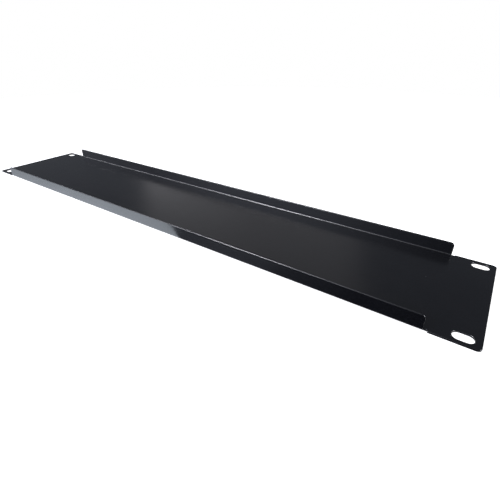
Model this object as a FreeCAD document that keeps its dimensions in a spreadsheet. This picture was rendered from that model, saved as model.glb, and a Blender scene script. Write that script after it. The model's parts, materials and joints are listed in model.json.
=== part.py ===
import FreeCAD, Part
import math
import os
import Sketcher

# Rack blanking panel, two units high, for a 19 inch rack.
# It is one folded steel sheet. The flat face covers the opening in the rack. Both long edges of
# the face fold back at a right angle into stiffening flanges, and both ends stay flat as ears with
# slots for the screws of the rack's rails. A notch at each end of a flange frees the fold.
#
# The frame is in millimetres: X along the panel, Y across it and +Z out of the back of the face.
# The origin is the centre of the front face, which lies on Z = 0, so the flanges point up.

SIZES = {
    "panel_length": ("482.6", "over both ears, 19 inches"),
    "panel_height": ("88.1", "two rack units, less the clearance to the next panel"),
    "sheet_thickness": ("1.2", "steel sheet with its coat"),
    "bend_inner_radius": ("0.6", "inside of both long folds"),
    "flange_height": ("10.0", "from the front face to the free edge of a flange"),
    "ear_width": ("26.6", "flat end of the sheet, past the end of a flange"),
    "panel_corner_radius": ("2.5", "the four outer corners"),
    "flange_corner_radius": ("2.5", "the two free corners of each flange"),
    "slot_length": ("11.0", "rack slot, end to end along X"),
    "slot_width": ("7.0", "rack slot, across Y, for an M6 screw"),
    "slot_end_inset": ("8.75", "centre of a slot from the end of its ear, 465.1 between ears"),
    "slot_side_inset": ("5.95", "centre of a slot from the long edge, 76.2 between slots"),
    "relief_width": ("2.2", "notch between an ear and the end of a flange"),
    "relief_depth": ("1.1", "notch, in from the long edge"),
    "relief_corner_radius": ("0.5", "the two inner corners of a notch"),
}
EDGE_OVERRUN = 2.0  # how far a cut at an edge runs out past the sheet
SAME_PLACE = 1e-4  # places closer than this are one place
SAME_VOLUME = 0.01  # cubic millimetres

# The points of a sketched line or arc, and the sketch's own origin and axis.
START, END, CENTRE = 1, 2, 3
ORIGIN = (-1, 1)
HORIZONTAL_AXIS = -1

document = FreeCAD.newDocument("rack_blanking_panel")
sheet = document.addObject("Spreadsheet::Sheet", "Sizes")
for row, (alias, (value, note)) in enumerate(SIZES.items(), start=1):
    sheet.set(f"A{row}", alias)
    sheet.set(f"B{row}", value)
    sheet.set(f"C{row}", note)
    sheet.setAlias(f"B{row}", alias)
document.recompute()


def size(alias):
    """A driving dimension as a number, for the first guess of a sketch and for choosing edges."""
    return float(sheet.get(alias))


half_length = size("panel_length") / 2
half_height = size("panel_height") / 2
half_flange = half_length - size("ear_width")
bend_outer_radius = size("bend_inner_radius") + size("sheet_thickness")

HALF_LENGTH = "Sizes.panel_length / 2"
HALF_HEIGHT = "Sizes.panel_height / 2"
HALF_FLANGE = "Sizes.panel_length / 2 - Sizes.ear_width"
BEND_OUTER_RADIUS = "Sizes.bend_inner_radius + Sizes.sheet_thickness"


# Sketching ---------------------------------------------------------------------------------------


def origin_plane(body, role):
    """One of the body's own three origin planes."""
    return next(plane for plane in body.Origin.OriginFeatures if plane.Role == role)


def new_sketch(body, name, role):
    """An empty sketch on one of the body's origin planes."""
    sketch = body.newObject("Sketcher::SketchObject", name)
    sketch.AttachmentSupport = (origin_plane(body, role), [""])
    sketch.MapMode = "FlatFace"
    return sketch


def line(sketch, first, second):
    """A straight line between two points of the sketch's plane."""
    return sketch.addGeometry(Part.LineSegment(FreeCAD.Vector(*first), FreeCAD.Vector(*second)), False)


def arc(sketch, centre, radius, first_degrees, last_degrees):
    """An arc that runs counter-clockwise."""
    circle = Part.Circle(FreeCAD.Vector(*centre), FreeCAD.Vector(0, 0, 1), radius)
    span = math.radians(first_degrees), math.radians(last_degrees)
    return sketch.addGeometry(Part.ArcOfCircle(circle, *span), False)


def rule(sketch, kind, *where):
    """A constraint without a size."""
    sketch.addConstraint(Sketcher.Constraint(kind, *where))


def dimension(sketch, name, kind, *where, now, to):
    """A constraint with a size: what it measures now, and the expression that drives it."""
    number = sketch.addConstraint(Sketcher.Constraint(kind, *where, now))
    sketch.renameConstraint(number, name)
    sketch.setExpression(f"Constraints.{name}", to)


def rectangle(sketch, left, bottom, right, top):
    """A closed upright rectangle, as its bottom, right, top and left lines."""
    corners = [(left, bottom, 0), (right, bottom, 0), (right, top, 0), (left, top, 0)]
    sides = [line(sketch, corners[n], corners[(n + 1) % len(corners)]) for n in range(len(corners))]
    for n, side in enumerate(sides):
        rule(sketch, "Coincident", side, END, sides[(n + 1) % len(sides)], START)
        rule(sketch, "Vertical" if n % 2 else "Horizontal", side)
    return sides


def face_outline(body):
    """The sheet as a plain rectangle about the origin, over both ears and between the long edges."""
    sketch = new_sketch(body, "FaceOutline", "XY_Plane")
    bottom, right, top, _ = rectangle(sketch, -half_length, -half_height, half_length, half_height)
    rule(sketch, "Symmetric", bottom, START, top, START, *ORIGIN)
    dimension(sketch, "length", "DistanceX", bottom, START, bottom, END,
              now=size("panel_length"), to="Sizes.panel_length")
    dimension(sketch, "height", "DistanceY", right, START, right, END,
              now=size("panel_height"), to="Sizes.panel_height")
    return sketch


def fold_outline(body):
    """The strip along one long edge, between the ears, that the fold and its flange take up."""
    sketch = new_sketch(body, "FoldOutline", "XY_Plane")
    inner_edge = half_height - bend_outer_radius
    outer_edge = half_height + EDGE_OVERRUN
    bottom, right, _, left = rectangle(sketch, -half_flange, inner_edge, half_flange, outer_edge)
    dimension(sketch, "left_half", "DistanceX", bottom, START, *ORIGIN,
              now=half_flange, to=HALF_FLANGE)
    dimension(sketch, "right_half", "DistanceX", *ORIGIN, bottom, END,
              now=half_flange, to=HALF_FLANGE)
    dimension(sketch, "inner_edge", "DistanceY", *ORIGIN, right, START,
              now=inner_edge, to=f"{HALF_HEIGHT} - ({BEND_OUTER_RADIUS})")
    dimension(sketch, "outer_edge", "DistanceY", *ORIGIN, left, START,
              now=outer_edge, to=f"{HALF_HEIGHT} + {EDGE_OVERRUN}")
    return sketch


def flange_section(body):
    """The fold and its flange, cut across the panel: a quarter ring that runs on as a straight leg."""
    sketch = new_sketch(body, "FlangeSection", "YZ_Plane")
    inner_radius = size("bend_inner_radius")
    thickness = size("sheet_thickness")
    top = size("flange_height")
    fold = half_height - bend_outer_radius, bend_outer_radius, 0
    inner_face = half_height - thickness

    outer_arc = arc(sketch, fold, bend_outer_radius, -90, 0)
    outer_side = line(sketch, (half_height, bend_outer_radius, 0), (half_height, top, 0))
    free_edge = line(sketch, (half_height, top, 0), (inner_face, top, 0))
    inner_side = line(sketch, (inner_face, top, 0), (inner_face, bend_outer_radius, 0))
    inner_arc = arc(sketch, fold, inner_radius, -90, 0)
    seam = line(sketch, (fold[0], thickness, 0), (fold[0], 0, 0))

    rule(sketch, "Tangent", outer_arc, END, outer_side, START)
    rule(sketch, "Coincident", outer_side, END, free_edge, START)
    rule(sketch, "Coincident", free_edge, END, inner_side, START)
    rule(sketch, "Tangent", inner_side, END, inner_arc, END)
    rule(sketch, "Coincident", inner_arc, START, seam, START)
    rule(sketch, "Coincident", seam, END, outer_arc, START)
    rule(sketch, "Coincident", inner_arc, CENTRE, outer_arc, CENTRE)
    rule(sketch, "Vertical", outer_side)
    rule(sketch, "Horizontal", free_edge)
    rule(sketch, "Vertical", seam)
    rule(sketch, "PointOnObject", seam, END, HORIZONTAL_AXIS)
    dimension(sketch, "outer_side", "DistanceX", *ORIGIN, outer_side, END,
              now=half_height, to=HALF_HEIGHT)
    dimension(sketch, "free_edge", "DistanceY", *ORIGIN, outer_side, END,
              now=top, to="Sizes.flange_height")
    dimension(sketch, "inner_radius", "Radius", inner_arc,
              now=inner_radius, to="Sizes.bend_inner_radius")
    dimension(sketch, "outer_radius", "Radius", outer_arc,
              now=bend_outer_radius, to=BEND_OUTER_RADIUS)
    return sketch


def rack_slot_outline(body):
    """One rack slot, in the ear at +X and by the long edge at +Y: two half rounds and two sides."""
    sketch = new_sketch(body, "RackSlotOutline", "XY_Plane")
    radius = size("slot_width") / 2
    half_run = size("slot_length") / 2 - radius
    x = half_length - size("slot_end_inset")
    y = half_height - size("slot_side_inset")

    outer_end = arc(sketch, (x + half_run, y, 0), radius, -90, 90)
    upper_side = line(sketch, (x + half_run, y + radius, 0), (x - half_run, y + radius, 0))
    inner_end = arc(sketch, (x - half_run, y, 0), radius, 90, 270)
    lower_side = line(sketch, (x - half_run, y - radius, 0), (x + half_run, y - radius, 0))
    pieces = [outer_end, upper_side, inner_end, lower_side]
    for n, piece in enumerate(pieces):
        rule(sketch, "Tangent", piece, END, pieces[(n + 1) % len(pieces)], START)
    rule(sketch, "Horizontal", upper_side)
    dimension(sketch, "radius", "Radius", outer_end, now=radius, to="Sizes.slot_width / 2")
    dimension(sketch, "run", "DistanceX", inner_end, CENTRE, outer_end, CENTRE,
              now=2 * half_run, to="Sizes.slot_length - Sizes.slot_width")
    dimension(sketch, "outer_centre_x", "DistanceX", *ORIGIN, outer_end, CENTRE, now=x + half_run,
              to=f"{HALF_LENGTH} - Sizes.slot_end_inset + (Sizes.slot_length - Sizes.slot_width) / 2")
    dimension(sketch, "centre_y", "DistanceY", *ORIGIN, outer_end, CENTRE,
              now=y, to=f"{HALF_HEIGHT} - Sizes.slot_side_inset")
    return sketch


def relief_outline(body):
    """One notch beside a flange's end, open at the long edge, with two rounded inner corners."""
    sketch = new_sketch(body, "ReliefOutline", "XY_Plane")
    radius = size("relief_corner_radius")
    near = half_flange
    far = half_flange + size("relief_width")
    floor = half_height - size("relief_depth")
    mouth = half_height + EDGE_OVERRUN

    near_corner = arc(sketch, (near + radius, floor + radius, 0), radius, 180, 270)
    floor_line = line(sketch, (near + radius, floor, 0), (far - radius, floor, 0))
    far_corner = arc(sketch, (far - radius, floor + radius, 0), radius, 270, 360)
    far_side = line(sketch, (far, floor + radius, 0), (far, mouth, 0))
    mouth_line = line(sketch, (far, mouth, 0), (near, mouth, 0))
    near_side = line(sketch, (near, mouth, 0), (near, floor + radius, 0))
    rule(sketch, "Tangent", near_corner, END, floor_line, START)
    rule(sketch, "Tangent", floor_line, END, far_corner, START)
    rule(sketch, "Tangent", far_corner, END, far_side, START)
    rule(sketch, "Coincident", far_side, END, mouth_line, START)
    rule(sketch, "Coincident", mouth_line, END, near_side, START)
    rule(sketch, "Tangent", near_side, END, near_corner, START)
    rule(sketch, "Horizontal", floor_line)
    rule(sketch, "Horizontal", mouth_line)
    rule(sketch, "Vertical", near_side)
    rule(sketch, "Equal", near_corner, far_corner)
    dimension(sketch, "corner_radius", "Radius", near_corner,
              now=radius, to="Sizes.relief_corner_radius")
    dimension(sketch, "near_side", "DistanceX", *ORIGIN, near_side, START,
              now=near, to=HALF_FLANGE)
    dimension(sketch, "width", "DistanceX", mouth_line, END, mouth_line, START,
              now=far - near, to="Sizes.relief_width")
    dimension(sketch, "floor", "DistanceY", *ORIGIN, floor_line, START,
              now=floor, to=f"{HALF_HEIGHT} - Sizes.relief_depth")
    dimension(sketch, "mouth", "DistanceY", *ORIGIN, mouth_line, START,
              now=mouth, to=f"{HALF_HEIGHT} + {EDGE_OVERRUN}")
    return sketch


# Solid features ----------------------------------------------------------------------------------


def sheet_pad(body, name, sketch):
    """The sketch's outline raised by the thickness of the sheet."""
    pad = body.newObject("PartDesign::Pad", name)
    pad.Profile = sketch
    pad.setExpression("Length", "Sizes.sheet_thickness")
    return pad


def sheet_pocket(body, name, sketch):
    """The sketch's outline cut up through the sheet, from the front face to the back."""
    pocket = body.newObject("PartDesign::Pocket", name)
    pocket.Profile = sketch
    pocket.Reversed = True
    pocket.setExpression("Length", "Sizes.sheet_thickness")
    return pocket


def mirrored(body, name, role, originals=()):
    """A mirror in one of the origin planes. A mirror inside a multiple transform has no originals."""
    mirror = body.newObject("PartDesign::Mirrored", name)
    mirror.Originals = list(originals)
    mirror.MirrorPlane = (origin_plane(body, role), [""])
    return mirror


def corner_edges(shape, along, x=None, y=None, z=None):
    """The names of the straight edges that run along one axis with their middle at the given place.

    A place is compared without its sign, so that one call finds an edge and its mirror images.
    """
    names = []
    for number, edge in enumerate(shape.Edges, start=1):
        if edge.Curve.TypeId != "Part::GeomLine":
            continue
        if abs(abs(edge.Curve.Direction.dot(along)) - 1) > SAME_PLACE:
            continue
        middle = edge.CenterOfMass
        wanted = zip((middle.x, middle.y, middle.z), (x, y, z))
        if all(place is None or abs(abs(found) - place) < SAME_PLACE for found, place in wanted):
            names.append(f"Edge{number}")
    return names


def round_corners(body, name, base, edges, radius):
    """A fillet over the named edges of the feature before it."""
    fillet = body.newObject("PartDesign::Fillet", name)
    fillet.Base = (base, edges)
    fillet.setExpression("Radius", radius)
    return fillet


def corner_waste_area(radius):
    """What rounding one square corner takes off a sheet, seen square on."""
    return (1 - math.pi / 4) * size(radius) ** 2


def expect_change(feature, before, volume):
    """Stops the build when a feature adds or takes away another volume than it should."""
    document.recompute()
    change = feature.Shape.Volume - before
    if abs(change - volume) > SAME_VOLUME:
        raise ValueError(f"{feature.Name} changes the volume by {change:.3f}, not {volume:.3f}")


def blanking_panel():
    """The whole part: one sheet, folded along both long edges."""
    body = document.addObject("PartDesign::Body", "BlankingPanel")
    body.Label = "blanking_panel"
    thickness = size("sheet_thickness")

    face = sheet_pad(body, "Face", face_outline(body))
    expect_change(face, 0, size("panel_length") * size("panel_height") * thickness)

    fold_space = sheet_pocket(body, "FoldSpace", fold_outline(body))
    fold_strip = 2 * half_flange * bend_outer_radius * thickness
    expect_change(fold_space, face.Shape.Volume, -fold_strip)

    flange = body.newObject("PartDesign::Pad", "Flange")
    flange.Profile = flange_section(body)
    flange.SideType = "Symmetric"
    flange.setExpression("Length", f"2 * ({HALF_FLANGE})")
    quarter_ring = math.pi / 4 * (bend_outer_radius**2 - size("bend_inner_radius") ** 2)
    leg = (size("flange_height") - bend_outer_radius) * thickness
    flange_volume = 2 * half_flange * (quarter_ring + leg)
    expect_change(flange, fold_space.Shape.Volume, flange_volume)

    other_flange = mirrored(body, "OtherFlange", "XZ_Plane", [fold_space, flange])
    body.Tip = other_flange
    expect_change(other_flange, flange.Shape.Volume, flange_volume - fold_strip)

    rack_slot = sheet_pocket(body, "RackSlot", rack_slot_outline(body))
    slot_radius = size("slot_width") / 2
    slot_run = size("slot_length") - size("slot_width")
    slot_volume = (math.pi * slot_radius**2 + slot_run * size("slot_width")) * thickness
    expect_change(rack_slot, other_flange.Shape.Volume, -slot_volume)

    relief = sheet_pocket(body, "Relief", relief_outline(body))
    relief_area = size("relief_width") * size("relief_depth")
    relief_area -= 2 * corner_waste_area("relief_corner_radius")
    relief_volume = relief_area * thickness
    expect_change(relief, rack_slot.Shape.Volume, -relief_volume)

    four_corners = body.newObject("PartDesign::MultiTransform", "FourCorners")
    four_corners.Originals = [rack_slot, relief]
    four_corners.Transformations = [
        mirrored(body, "AcrossThePanel", "XZ_Plane"),
        mirrored(body, "AlongThePanel", "YZ_Plane"),
    ]
    body.Tip = four_corners
    expect_change(four_corners, relief.Shape.Volume, -3 * (slot_volume + relief_volume))

    upright = FreeCAD.Vector(0, 0, 1)
    crosswise = FreeCAD.Vector(0, 1, 0)
    panel_edges = corner_edges(four_corners.Shape, upright, x=half_length, y=half_height)
    panel_corners = round_corners(body, "PanelCorners", four_corners, panel_edges,
                                  "Sizes.panel_corner_radius")
    panel_waste = corner_waste_area("panel_corner_radius") * thickness
    expect_change(panel_corners, four_corners.Shape.Volume, -4 * panel_waste)

    flange_edges = corner_edges(panel_corners.Shape, crosswise, x=half_flange, z=size("flange_height"))
    flange_corners = round_corners(body, "FlangeCorners", panel_corners, flange_edges,
                                   "Sizes.flange_corner_radius")
    flange_waste = corner_waste_area("flange_corner_radius") * thickness
    expect_change(flange_corners, panel_corners.Shape.Volume, -4 * flange_waste)
    return body


panel = blanking_panel()
document.recompute()

for item in document.Objects:
    if {"Invalid", "Error"} & set(item.State):
        raise RuntimeError(f"{item.Name} could not be built: {item.State}")
shape = panel.Shape
if shape.isNull() or not shape.isValid() or len(shape.Solids) != 1:
    raise RuntimeError("the panel is not one valid solid")

os.makedirs("parts", exist_ok=True)
shape.exportStep(f"parts/{panel.Label}.step")
print(f"{panel.Label}: {shape.Volume:.1f} cubic mm, box {shape.BoundBox}")
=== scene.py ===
import json
import math

import bpy
from mathutils import Matrix, Vector
from mathutils.geometry import delaunay_2d_cdt


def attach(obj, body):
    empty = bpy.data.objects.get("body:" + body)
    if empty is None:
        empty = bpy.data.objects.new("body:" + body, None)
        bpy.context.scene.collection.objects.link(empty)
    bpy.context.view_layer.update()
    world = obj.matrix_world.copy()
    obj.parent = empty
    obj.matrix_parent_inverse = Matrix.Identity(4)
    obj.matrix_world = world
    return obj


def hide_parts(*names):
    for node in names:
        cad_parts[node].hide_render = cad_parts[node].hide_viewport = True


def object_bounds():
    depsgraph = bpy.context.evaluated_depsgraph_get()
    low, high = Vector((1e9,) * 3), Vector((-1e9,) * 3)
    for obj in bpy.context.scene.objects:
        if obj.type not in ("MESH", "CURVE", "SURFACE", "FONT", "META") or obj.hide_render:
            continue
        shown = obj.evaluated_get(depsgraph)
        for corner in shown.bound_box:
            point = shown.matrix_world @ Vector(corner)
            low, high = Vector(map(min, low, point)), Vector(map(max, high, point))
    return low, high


# A two-unit rack blanking panel of black powder-coated steel, lying on its front face.
# The scene is in metres. The sheet is worked out in millimetres, and so is a name that ends in MM.

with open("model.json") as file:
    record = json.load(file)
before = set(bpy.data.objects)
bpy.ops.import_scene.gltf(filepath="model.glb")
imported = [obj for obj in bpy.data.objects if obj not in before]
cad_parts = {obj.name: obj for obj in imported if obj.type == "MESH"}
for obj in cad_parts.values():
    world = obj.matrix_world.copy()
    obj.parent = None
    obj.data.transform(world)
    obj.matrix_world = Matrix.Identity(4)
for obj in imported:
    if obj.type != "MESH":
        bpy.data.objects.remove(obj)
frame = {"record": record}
cad_low, cad_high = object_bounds()
MM = 0.001

# The folded sheet, in millimetres -----------------------------------------------------------------

rack_slots = next(m for m in frame["record"]["mounts"] if m["name"] == "rack_slots")["dims"]

SHEET_THICKNESS = 1.2
BEND_INNER_RADIUS = 0.6
EAR_WIDTH = 26.6
CORNER_RADIUS = 2.5
RELIEF_WIDTH = 2.2
RELIEF_DEPTH = 1.1
RELIEF_CORNER_RADIUS = 0.5
RELIEF_MOUTH_RADIUS = 0.5  # the corner of an ear beside a relief notch
FLANGE_RIM_RADIUS = 0.4  # the coat rounds the flanges' free edges
FACE_RIM_RADIUS = 0.15  # and leaves the face's own edges sharper
SLOT_RIM_RADIUS = 0.4  # the punch rolls the slots' edges over
SLOT_TIGHTNESS = 0.25  # how much smaller than the record's slot the coated throat is, all round
FOLD_FADE = 0.8  # how far past a flange's end the fold dies out in the ear
LINE_GAP = 0.05  # a bend line stops this far short of the rim

HALF_LENGTH = (cad_high.x - cad_low.x) / MM / 2
HALF_HEIGHT = (cad_high.y - cad_low.y) / MM / 2
HALF_FLANGE = HALF_LENGTH - EAR_WIDTH
BEND_OUTER_RADIUS = BEND_INNER_RADIUS + SHEET_THICKNESS
BEND_MIDDLE_RADIUS = BEND_INNER_RADIUS + SHEET_THICKNESS / 2
BEND_START = HALF_HEIGHT - BEND_OUTER_RADIUS
BEND_RUN = BEND_MIDDLE_RADIUS * math.pi / 2
FLANGE_RUN = (cad_high.z - cad_low.z) / MM - BEND_OUTER_RADIUS
UNFOLDED_HALF_HEIGHT = BEND_START + BEND_RUN + FLANGE_RUN
SLOT_THROAT_RADIUS = rack_slots["hole_r_mm"] - SLOT_TIGHTNESS
SLOT_HALF_RUN = rack_slots["slot_length_mm"] / 2 - rack_slots["hole_r_mm"]

BEND_STEPS = 12
FADE_STEPS = 4
RIM_STEPS = 4
CORNER_STEPS = 12
SLOT_STEPS = 24
ONLY_INSIDE = 1  # the triangulation keeps what lies inside the outer edge
WELD_DISTANCE = 1e-6


def arc(centre_x, centre_y, radius, first, last, steps):
    """Points along an arc, both ends included. The angles are in degrees."""
    angles = [math.radians(first + (last - first) * n / steps) for n in range(steps + 1)]
    return [(centre_x + radius * math.cos(a), centre_y + radius * math.sin(a)) for a in angles]


def bend_levels():
    """How far from the middle line the fold's lines lie on the unfolded sheet."""
    return [BEND_START + BEND_RUN * n / BEND_STEPS for n in range(BEND_STEPS + 1)]


def outer_loop():
    """The edge of the unfolded sheet, anticlockwise."""
    relief_far = HALF_FLANGE + RELIEF_WIDTH
    relief_centre = HALF_HEIGHT - RELIEF_DEPTH + RELIEF_CORNER_RADIUS
    relief_steps = CORNER_STEPS // 2

    quarter = arc(HALF_LENGTH - CORNER_RADIUS, HALF_HEIGHT - CORNER_RADIUS, CORNER_RADIUS,
                  0, 90, CORNER_STEPS)
    quarter += arc(relief_far + RELIEF_MOUTH_RADIUS, HALF_HEIGHT - RELIEF_MOUTH_RADIUS,
                   RELIEF_MOUTH_RADIUS, 90, 180, relief_steps)
    quarter += arc(relief_far - RELIEF_CORNER_RADIUS, relief_centre, RELIEF_CORNER_RADIUS,
                   0, -90, relief_steps)
    quarter += arc(HALF_FLANGE + RELIEF_CORNER_RADIUS, relief_centre, RELIEF_CORNER_RADIUS,
                   -90, -180, relief_steps)
    quarter += [(HALF_FLANGE, level) for level in bend_levels() if level > relief_centre + LINE_GAP]
    quarter += arc(HALF_FLANGE - CORNER_RADIUS, UNFOLDED_HALF_HEIGHT - CORNER_RADIUS, CORNER_RADIUS,
                   0, 90, CORNER_STEPS)

    loop = list(quarter)
    loop += [(-x, y) for x, y in reversed(quarter)]
    loop += [(-x, -y) for x, y in quarter]
    loop += [(x, -y) for x, y in reversed(quarter)]
    return loop


def slot_loop(centre_x, centre_y):
    """The edge of one rack slot, clockwise, so that the steel is on the same side as on the outside."""
    right = arc(centre_x + SLOT_HALF_RUN, centre_y, SLOT_THROAT_RADIUS, 90, -90, SLOT_STEPS)
    left = arc(centre_x - SLOT_HALF_RUN, centre_y, SLOT_THROAT_RADIUS, -90, -270, SLOT_STEPS)
    return right + left


def slot_centres():
    """The middles of the four rack slots."""
    half_x = rack_slots["spacing_x_mm"] / 2
    half_y = rack_slots["spacing_y_mm"] / 2
    return [(x, y) for x in (-half_x, half_x) for y in (-half_y, half_y)]


def outward(loop):
    """At each point of a loop, the way out of the steel, as long as a mitre needs."""
    ways = []
    for n, point in enumerate(loop):
        before = Vector(point) - Vector(loop[n - 1])
        after = Vector(loop[(n + 1) % len(loop)]) - Vector(point)
        first = Vector((before.y, -before.x)).normalized()
        second = Vector((after.y, -after.x)).normalized()
        ways.append((first + second) / (1 + first.dot(second)))
    return ways


def in_slot(point):
    """Whether a point is inside the polygon that a slot's rim leaves in the sheet's flat face."""
    mouth = SLOT_THROAT_RADIUS + SLOT_RIM_RADIUS
    inside = mouth * math.cos(math.pi / SLOT_STEPS / 2)
    for centre_x, centre_y in slot_centres():
        along = max(abs(point.x - centre_x) - SLOT_HALF_RUN, 0)
        if math.hypot(along, point.y - centre_y) < inside:
            return True
    return False


def fold(x, across, height):
    """Where a point of the unfolded sheet goes as the long edges fold up, and its two directions.

    across is the distance from the middle line, and height the one from the middle of the steel.
    """
    side = math.copysign(1, across)
    into_bend = min(max(abs(across) - BEND_START, 0), BEND_RUN)
    past_bend = max(abs(across) - BEND_START - BEND_RUN, 0)
    angle = into_bend / BEND_MIDDLE_RADIUS
    radius = BEND_MIDDLE_RADIUS - height
    flat = Vector((x, across, SHEET_THICKNESS / 2 + height))
    if angle == 0:
        return flat, Vector((0, 1, 0)), Vector((0, 0, 1))

    folded = Vector((
        x,
        side * (BEND_START + radius * math.sin(angle) + past_bend * math.cos(angle)),
        BEND_OUTER_RADIUS - radius * math.cos(angle) + past_bend * math.sin(angle),
    ))
    faded = min(max((abs(x) - HALF_FLANGE) / FOLD_FADE, 0), 1)
    share = 1 - faded * faded * (3 - 2 * faded)
    turn = angle * share
    along_sheet = Vector((0, math.cos(turn), side * math.sin(turn)))
    up_sheet = Vector((0, -side * math.sin(turn), math.cos(turn)))
    return flat.lerp(folded, share), along_sheet, up_sheet


def bend_lines():
    """The fold's lines on the unfolded sheet, as rows of points.

    The lines nearest the face run on past the flange's ends, to where the fold has died out.
    """
    end = HALF_FLANGE - FLANGE_RIM_RADIUS - LINE_GAP
    relief_rim = HALF_HEIGHT - RELIEF_DEPTH - FLANGE_RIM_RADIUS - LINE_GAP
    fade = [HALF_FLANGE + FOLD_FADE * n / FADE_STEPS for n in range(FADE_STEPS + 1)]
    rows = []
    for level in bend_levels():
        places = [end] + fade if level < relief_rim else [end]
        for side in (-1, 1):
            rows.append([(x, side * level) for x in [-p for p in reversed(places)] + places])
    return rows


def outer_rim(point):
    """The rounding of the outer edge, which grows through the bend."""
    share = min(max((abs(point[1]) - BEND_START) / BEND_RUN, 0), 1)
    return FACE_RIM_RADIUS + (FLANGE_RIM_RADIUS - FACE_RIM_RADIUS) * share


def folded_sheet():
    """The panel as one closed mesh with rounded rims and its true folds."""
    loops = [outer_loop()] + [slot_loop(x, y) for x, y in slot_centres()]
    rims = [[outer_rim(point) for point in loops[0]]]
    rims += [[SLOT_RIM_RADIUS] * len(loop) for loop in loops[1:]]
    ways = [outward(loop) for loop in loops]
    flat_points = []
    lines = []
    loop_starts = []
    for loop, way, rim in zip(loops, ways, rims):
        start = len(flat_points)
        loop_starts.append(start)
        flat_points += [Vector(p) - w * r for p, w, r in zip(loop, way, rim)]
        lines += [(start + n, start + (n + 1) % len(loop)) for n in range(len(loop))]
    for row in bend_lines():
        start = len(flat_points)
        flat_points += [Vector(p) for p in row]
        lines += [(start + n, start + n + 1) for n in range(len(row) - 1)]

    points, _, triangles, sources, _, _ = delaunay_2d_cdt(
        flat_points, lines, [], ONLY_INSIDE, WELD_DISTANCE)
    place_of = {source: n for n, origins in enumerate(sources) for source in origins}
    middles = [sum((points[n] for n in corners), Vector((0, 0))) / 3 for corners in triangles]
    triangles = [corners for corners, middle in zip(triangles, middles) if not in_slot(middle)]

    vertices = []
    normals = []

    def add(x, across, height, normal):
        place, along_sheet, up_sheet = fold(x, across, height)
        vertices.append(place * MM)
        turned = Vector((normal.x, 0, 0)) + along_sheet * normal.y + up_sheet * normal.z
        normals.append(turned.normalized())
        return len(vertices) - 1

    half = SHEET_THICKNESS / 2
    back = [add(p.x, p.y, half, Vector((0, 0, 1))) for p in points]
    front = [add(p.x, p.y, -half, Vector((0, 0, -1))) for p in points]
    faces = [[back[n] for n in t] for t in triangles]
    faces += [[front[n] for n in reversed(t)] for t in triangles]

    for loop, way, rim, start in zip(loops, ways, rims, loop_starts):
        rings = [[back[place_of[start + n]] for n in range(len(loop))]]
        for upper in (1, -1):
            steps = range(1, RIM_STEPS + 1) if upper == 1 else range(RIM_STEPS, 0, -1)
            for step in steps:
                angle = math.pi / 2 * step / RIM_STEPS
                ring = []
                for point, out, radius in zip(loop, way, rim):
                    at = Vector(point) - out * radius * (1 - math.sin(angle))
                    height = upper * (half - radius * (1 - math.cos(angle)))
                    level = out.normalized() * math.sin(angle)
                    normal = Vector((level.x, level.y, upper * math.cos(angle)))
                    ring.append(add(at.x, at.y, height, normal))
                rings.append(ring)
        rings.append([front[place_of[start + n]] for n in range(len(loop))])
        for upper_ring, lower_ring in zip(rings, rings[1:]):
            for n in range(len(loop)):
                after = (n + 1) % len(loop)
                faces.append([upper_ring[after], upper_ring[n], lower_ring[n], lower_ring[after]])

    mesh = bpy.data.meshes.new("folded_sheet")
    mesh.from_pydata(vertices, [], faces)
    mesh.polygons.foreach_set("use_smooth", [True] * len(mesh.polygons))
    mesh.normals_split_custom_set_from_vertices(normals)
    sheet = bpy.data.objects.new("folded_sheet", mesh)
    bpy.context.scene.collection.objects.link(sheet)
    return sheet


# Materials ----------------------------------------------------------------------------------------

COAT_IOR = 1.5
COAT_DARK = (0.0036, 0.0039, 0.0056)
COAT_LIGHT = (0.0046, 0.005, 0.0068)
COAT_ROUGHNESS = (0.205, 0.24)
NOISE_MIDDLE = (0.3, 0.7)  # the part of a noise's range that most of its values lie in
MOTTLE_MM = 35  # across the patches where the colour changes
CLOUD_MM = 12  # across the patches where the gloss changes
PEEL_MM = 2.4  # across a wave of the orange peel
PEEL_STRENGTH = 0.2
PEEL_DEPTH_MM = 0.012
GRAIN_MM = 0.9  # across the finer grain
GRAIN_HEIGHT = 0.5  # as a share of the orange peel's
GRAIN_ROUGHNESS = (-0.02, 0.02)
NIB_SPACING_MM = 9.0
NIB_RADIUS = 0.03  # as a share of the spacing
NIB_SHARE = 0.12  # the share of the cells that hold a nib
NIB_HEIGHT = 2.0  # as a share of the orange peel's
NIB_ROUGHNESS = 0.6
NIB_COLOUR = (0.05, 0.05, 0.055)


def new_material(name):
    """An empty node material and its tree."""
    material = bpy.data.materials.new(name)
    material.use_nodes = True
    material.node_tree.nodes.clear()
    return material, material.node_tree


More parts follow.
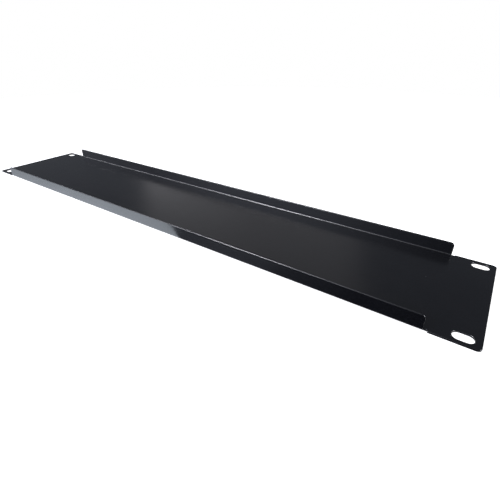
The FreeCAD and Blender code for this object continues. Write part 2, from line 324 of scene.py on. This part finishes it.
def powder_coat():
    """Semi-gloss black powder coat: an orange-peel skin, faint mottling and a few dust nibs."""
    material, tree = new_material("black_powder_coat")
    add = tree.nodes.new
    link = tree.links.new
    out = add("ShaderNodeOutputMaterial")
    shader = add("ShaderNodeBsdfPrincipled")
    shader.inputs["IOR"].default_value = COAT_IOR
    place = add("ShaderNodeTexCoord").outputs["Object"]

    def noise(wavelength_mm, detail):
        node = add("ShaderNodeTexNoise")
        node.inputs["Scale"].default_value = 1 / (wavelength_mm * MM)
        node.inputs["Detail"].default_value = detail
        link(place, node.inputs["Vector"])
        return node.outputs["Fac"]

    def spread(value, come_from, go_to):
        node = add("ShaderNodeMapRange")
        node.inputs["From Min"].default_value = come_from[0]
        node.inputs["From Max"].default_value = come_from[1]
        node.inputs["To Min"].default_value = go_to[0]
        node.inputs["To Max"].default_value = go_to[1]
        link(value, node.inputs["Value"])
        return node.outputs["Result"]

    def math_node(operation, first, second):
        node = add("ShaderNodeMath")
        node.operation = operation
        for socket, value in zip(node.inputs, (first, second)):
            if isinstance(value, float):
                socket.default_value = value
            else:
                link(value, socket)
        return node.outputs["Value"]

    def mixed(factor, first, second):
        node = add("ShaderNodeMix")
        node.data_type = "RGBA"
        link(factor, node.inputs["Factor"])
        for socket, colour in zip(("A", "B"), (first, second)):
            target = next(i for i in node.inputs if i.name == socket and i.type == "RGBA")
            if isinstance(colour, tuple):
                target.default_value = (*colour, 1)
            else:
                link(colour, target)
        return next(o for o in node.outputs if o.type == "RGBA")

    # Dust nibs: the coat is split into cells, and a few of them hold one small grain.
    cells = add("ShaderNodeTexVoronoi")
    cells.inputs["Scale"].default_value = 1 / (NIB_SPACING_MM * MM)
    link(place, cells.inputs["Vector"])
    chosen = add("ShaderNodeSeparateColor")
    link(cells.outputs["Color"], chosen.inputs["Color"])
    speck = spread(cells.outputs["Distance"], (NIB_RADIUS, NIB_RADIUS / 2), (0, 1))
    picked = math_node("GREATER_THAN", chosen.outputs["Red"], 1 - NIB_SHARE)
    nib = math_node("MULTIPLY", speck, picked)

    mottle = spread(noise(MOTTLE_MM, detail=3), NOISE_MIDDLE, (0, 1))
    grain = noise(GRAIN_MM, detail=2)
    tone = mixed(mottle, COAT_DARK, COAT_LIGHT)
    link(mixed(nib, tone, NIB_COLOUR), shader.inputs["Base Color"])
    dull = spread(noise(CLOUD_MM, detail=4), NOISE_MIDDLE, COAT_ROUGHNESS)
    dull = math_node("ADD", dull, spread(grain, NOISE_MIDDLE, GRAIN_ROUGHNESS))
    dull = math_node("MAXIMUM", dull, math_node("MULTIPLY", nib, NIB_ROUGHNESS))
    link(dull, shader.inputs["Roughness"])

    peel = add("ShaderNodeBump")
    peel.inputs["Strength"].default_value = PEEL_STRENGTH
    peel.inputs["Distance"].default_value = PEEL_DEPTH_MM * MM
    height = math_node("ADD", noise(PEEL_MM, detail=1), math_node("MULTIPLY", grain, GRAIN_HEIGHT))
    height = math_node("ADD", height, math_node("MULTIPLY", nib, NIB_HEIGHT))
    link(height, peel.inputs["Height"])
    link(peel.outputs["Normal"], shader.inputs["Normal"])
    link(shader.outputs["BSDF"], out.inputs["Surface"])
    return material


# Studio -------------------------------------------------------------------------------------------

CAMERA_PLACE_MM = (219.4, -201.8, 128.3)  # from the middle of the part's footprint
CAMERA_AZIMUTH = 35.21
CAMERA_ELEVATION = 30.99
CAMERA_ROLL = -0.55
FOCAL_LENGTH_MM = 25.27
SENSOR_MM = 36.0
CLIP_START_MM = 1.0
SOFTBOX_DISTANCE = 1.5
ROOM_LEVEL = 0.143  # what the gloss shows where no lamp stands
FILL_LEVEL = 0.65  # what matt surfaces gather from the room
FLOOR_RADIUS = 0.9
FLOOR_CORNERS = 60
FLOOR_GAP_MM = 0.05  # between the floor and the part, so that they don't share a plane
FLOOR_COLOUR = (0.85, 0.85, 0.85)
FLOOR_GLOW = 0.85
CARD_GAP_MM = 0.25  # between the near flange and the floor cards
COOL = (0.94, 1.0, 1.18)
NEUTRAL = (0.99, 0.99, 1.05)
ROOM_TINT = (0.93, 1.0, 1.155)
TABLE_TINT = (0.92, 1.0, 1.11)
SHADE_TINT = (0.95, 1.0, 1.15)
# Radiance along a screen, lamp or card, from its -X end to its +X end.
FRONT_PROFILE = [(0, 1.7), (0.05, 1.7), (0.25, 1.2), (0.34, 2.7), (0.42, 4.5), (0.58, 5.0),
                 (0.67, 3.6), (0.75, 1.9), (0.88, 0.6), (1, 0.1)]
STRIP_PROFILE = [(0, 0), (0.12, 32), (0.3, 16), (0.46, 10), (0.58, 40), (0.65, 78), (0.75, 84),
                 (0.81, 42), (0.88, 8), (1, 0)]
# Painted reflection: the lit floor that the near flange's left half mirrors.
PAINTED_LIGHT_PROFILE = [(0, 1.27), (0.18, 1.37), (0.37, 1.7), (0.55, 2.17), (0.73, 2.65), (0.85, 2.95),
                  (1, 3.1)]
# Painted shade: the shaded floor that the near flange's right half mirrors, nearly black past its edge.
PAINTED_SHADE_PROFILE = [(0, 0.28), (0.41, 0.28), (0.475, 0.36), (0.51, 0.33), (0.55, 0.13), (0.6, 0.03),
                (0.67, 0.011), (1, 0.011)]


def emitter(name, radiance, tint):
    """A glowing material. The radiance is one number, or (place, radiance) stops along X."""
    material, tree = new_material(name)
    link = tree.links.new
    out = tree.nodes.new("ShaderNodeOutputMaterial")
    glow = tree.nodes.new("ShaderNodeEmission")
    link(glow.outputs[0], out.inputs["Surface"])
    stops = radiance if isinstance(radiance, list) else [(0, radiance), (1, radiance)]
    peak = max(value for _, value in stops) * max(tint)
    glow.inputs["Strength"].default_value = peak
    place = tree.nodes.new("ShaderNodeTexCoord")
    parts = tree.nodes.new("ShaderNodeSeparateXYZ")
    ramp = tree.nodes.new("ShaderNodeValToRGB")
    ramp.color_ramp.interpolation = "EASE"
    elements = ramp.color_ramp.elements
    while len(elements) < len(stops):
        elements.new(0.5)  # anywhere: the next lines place it
    for element, (at, value) in zip(elements, stops):
        element.position = at
        element.color = (*(value * share / peak for share in tint), 1)
    link(place.outputs["Generated"], parts.inputs[0])
    link(parts.outputs["X"], ramp.inputs["Fac"])
    link(ramp.outputs["Color"], glow.inputs["Color"])
    return material


def stage_sheet(name, corners, material, only_gloss=False):
    """A flat piece of studio equipment, which the camera never sees.

    With only_gloss, matt surfaces get none of its light either.
    """
    mesh = bpy.data.meshes.new(name)
    mesh.from_pydata(corners, [], [tuple(range(len(corners)))])
    mesh.materials.append(material)
    thing = bpy.data.objects.new(name, mesh)
    bpy.context.scene.collection.objects.link(thing)
    thing.visible_camera = False
    thing.visible_shadow = False
    thing.visible_diffuse = not only_gloss


def softbox(name, azimuth, elevation, width, height, radiance, tint, only_gloss=False):
    """A glowing screen that faces the part. The azimuth turns from +Y towards -X."""
    around = math.radians(azimuth)
    up = math.radians(elevation)
    away = Vector((-math.sin(around) * math.cos(up), math.cos(around) * math.cos(up), math.sin(up)))
    side = Vector((-math.cos(around), -math.sin(around), 0)) * width / 2
    rise = away.cross(side).normalized() * height / 2
    centre = away * SOFTBOX_DISTANCE
    corners = [centre - side - rise, centre + side - rise, centre + side + rise,
               centre - side + rise]
    stage_sheet(name, corners, emitter(name, radiance, tint), only_gloss)


def strip_lamp(name, left, right, middle, depth, height, radiance, tint):
    """A long lamp overhead, along the part, which only reflections see."""
    front = middle - depth / 2
    back = middle + depth / 2
    corners = [(left, front, height), (right, front, height), (right, back, height),
               (left, back, height)]
    stage_sheet(name, corners, emitter(name, radiance, tint), only_gloss=True)


def painted_reflection_card(name, left, right, slant, front, gap, radiance, tint):
    """A glowing card on the floor before the near flange, which only reflections see: it paints a
    reflection of the floor into the flange.

    Its places are in millimetres. Its right end is cut at a slant, and comes to the left as it
    leaves the flange. The gap is how far below the part it lies.
    """
    back = cad_low.y - CARD_GAP_MM * MM
    level = cad_low.z - gap * MM
    corners = [(left * MM, back, level), (left * MM, front * MM, level),
               ((right - slant) * MM, front * MM, level), (right * MM, back, level)]
    stage_sheet(name, corners, emitter(name, radiance, tint), only_gloss=True)


def make_floor():
    """A pale floor: it keeps the part's shadow, and its own glow for the camera makes it white."""
    z = cad_low.z - FLOOR_GAP_MM * MM
    last = 360 - 360 / FLOOR_CORNERS
    rim = [(x, y, z) for x, y in arc(0, 0, FLOOR_RADIUS, 0, last, FLOOR_CORNERS - 1)]
    mesh = bpy.data.meshes.new("floor")
    mesh.from_pydata(rim, [], [tuple(range(len(rim)))])
    floor = bpy.data.objects.new("floor", mesh)
    bpy.context.scene.collection.objects.link(floor)
    material, tree = new_material("floor")
    add = tree.nodes.new
    link = tree.links.new
    out = add("ShaderNodeOutputMaterial")
    diffuse = add("ShaderNodeBsdfDiffuse")
    diffuse.inputs["Color"].default_value = (*FLOOR_COLOUR, 1)
    glow = add("ShaderNodeEmission")
    glow.inputs["Strength"].default_value = FLOOR_GLOW
    path = add("ShaderNodeLightPath")
    total = add("ShaderNodeAddShader")
    mix = add("ShaderNodeMixShader")
    link(path.outputs["Is Camera Ray"], mix.inputs[0])
    link(diffuse.outputs[0], mix.inputs[1])
    link(diffuse.outputs[0], total.inputs[0])
    link(glow.outputs[0], total.inputs[1])
    link(total.outputs[0], mix.inputs[2])
    link(mix.outputs[0], out.inputs["Surface"])
    floor.data.materials.append(material)


def make_world():
    """The room: white to the camera, plain fill to matt surfaces, and dim to the gloss."""
    world = bpy.data.worlds.new("studio")
    bpy.context.scene.world = world
    world.use_nodes = True
    tree = world.node_tree
    tree.nodes.clear()
    add = tree.nodes.new
    link = tree.links.new
    out = add("ShaderNodeOutputWorld")
    back = add("ShaderNodeBackground")
    back.inputs["Color"].default_value = (1, 1, 1, 1)
    fill = add("ShaderNodeBackground")
    fill.inputs["Strength"].default_value = FILL_LEVEL
    room = add("ShaderNodeBackground")
    room.inputs["Color"].default_value = (*ROOM_TINT, 1)
    room.inputs["Strength"].default_value = ROOM_LEVEL
    path = add("ShaderNodeLightPath")
    matt = add("ShaderNodeMixShader")
    mix = add("ShaderNodeMixShader")
    link(path.outputs["Is Diffuse Ray"], matt.inputs[0])
    link(room.outputs[0], matt.inputs[1])
    link(fill.outputs[0], matt.inputs[2])
    link(path.outputs["Is Camera Ray"], mix.inputs[0])
    link(matt.outputs[0], mix.inputs[1])
    link(back.outputs[0], mix.inputs[2])
    link(mix.outputs[0], out.inputs["Surface"])


def make_camera():
    """The camera at the photograph's place and angle."""
    data = bpy.data.cameras.new("camera")
    data.sensor_width = SENSOR_MM
    data.lens = FOCAL_LENGTH_MM
    data.clip_start = CLIP_START_MM * MM
    camera = bpy.data.objects.new("camera", data)
    turn = Matrix.Rotation(math.radians(CAMERA_AZIMUTH), 4, "Z")
    tilt = Matrix.Rotation(math.radians(90 - CAMERA_ELEVATION), 4, "X")
    roll = Matrix.Rotation(math.radians(CAMERA_ROLL), 4, "Z")
    centre = (cad_low + cad_high) / 2
    place = Vector((centre.x, centre.y, cad_low.z)) + Vector(CAMERA_PLACE_MM) * MM
    camera.matrix_world = Matrix.Translation(place) @ turn @ tilt @ roll
    bpy.context.scene.collection.objects.link(camera)
    bpy.context.scene.camera = camera


# The scene ----------------------------------------------------------------------------------------

sheet = folded_sheet()
sheet.data.materials.append(powder_coat())
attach(sheet, "root")
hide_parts("blanking_panel")

make_floor()
make_world()
softbox("back_softbox_high", azimuth=32.5, elevation=39, width=1.13, height=1.15,
        radiance=0.37, tint=NEUTRAL)
softbox("back_softbox_low", azimuth=44, elevation=9, width=0.475, height=0.475,
        radiance=0.9, tint=NEUTRAL)
softbox("front_softbox", azimuth=150, elevation=24, width=2.5, height=0.86,
        radiance=FRONT_PROFILE, tint=COOL)
softbox("key_softbox", azimuth=120, elevation=75, width=1.0, height=1.0,
        radiance=2.5, tint=NEUTRAL)
softbox("glint_lamp", azimuth=-80, elevation=25, width=0.5, height=0.5,
        radiance=30, tint=NEUTRAL, only_gloss=True)
strip_lamp("strip_lamp", left=-2.4, right=0, middle=-0.62, depth=0.5, height=1.3,
           radiance=STRIP_PROFILE, tint=NEUTRAL)
# Painted reflection: a glowing card that the near flange's left half mirrors, standing for a lit floor
# there.
painted_reflection_card("painted_light_card", left=-300, right=43, slant=116, front=-110, gap=0.02,
           radiance=PAINTED_LIGHT_PROFILE, tint=TABLE_TINT)
# Painted shade: a dim card that the near flange's right half mirrors, standing for the shaded floor
# there.
painted_reflection_card("painted_shade_card", left=-300, right=500, slant=0, front=-500, gap=0.03,
           radiance=PAINTED_SHADE_PROFILE, tint=SHADE_TINT)
make_camera()
bpy.context.scene.view_settings.view_transform = "Standard"
